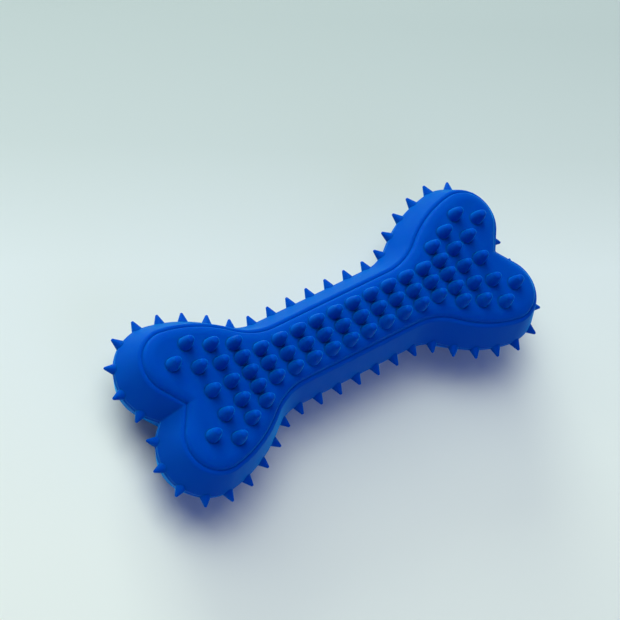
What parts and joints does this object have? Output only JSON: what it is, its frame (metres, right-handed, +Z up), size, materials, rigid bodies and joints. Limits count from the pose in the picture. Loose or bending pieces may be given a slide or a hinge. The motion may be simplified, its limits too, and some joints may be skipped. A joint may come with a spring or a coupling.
{
  "type": "bone-shaped dog toy",
  "caption": "Moulded rubber chew bone with lobed ends, teat-like nubs on both faces, pointed spikes round its rim and a reed whistle sealed inside.",
  "frame": {"origin": "under the middle of the toy, on the surface that it lies on", "axes": "+X along the bone, +Y across it, +Z up out of the front face"},
  "size_m": [0.1292, 0.0518, 0.0302],
  "materials": {
    "front_rubber": "satin moulded",
    "back_rubber": "satin moulded",
    "whistle_plastic": "satin",
    "seat_plastic": "satin",
    "clamp_plastic": "satin",
    "reed_film": "satin film"
  },
  "bodies": {
    "bone": {"front_shell": "front_rubber", "back_shell": "back_rubber", "whistle_tube": "whistle_plastic", "reed_seat": "seat_plastic", "reed_clamp": "clamp_plastic"},
    "reed": {"squeaker_reed": "reed_film"}
  },
  "joints": [
    {"name": "reed_bend", "type": "hinge", "parent": "bone", "child": "reed", "pos_m": [0, 0, 0.0117], "axis": [0, 1, 0], "range_deg": [-2.5, 6], "stiffness_Nm_per_rad": 0.0001}
  ]
}
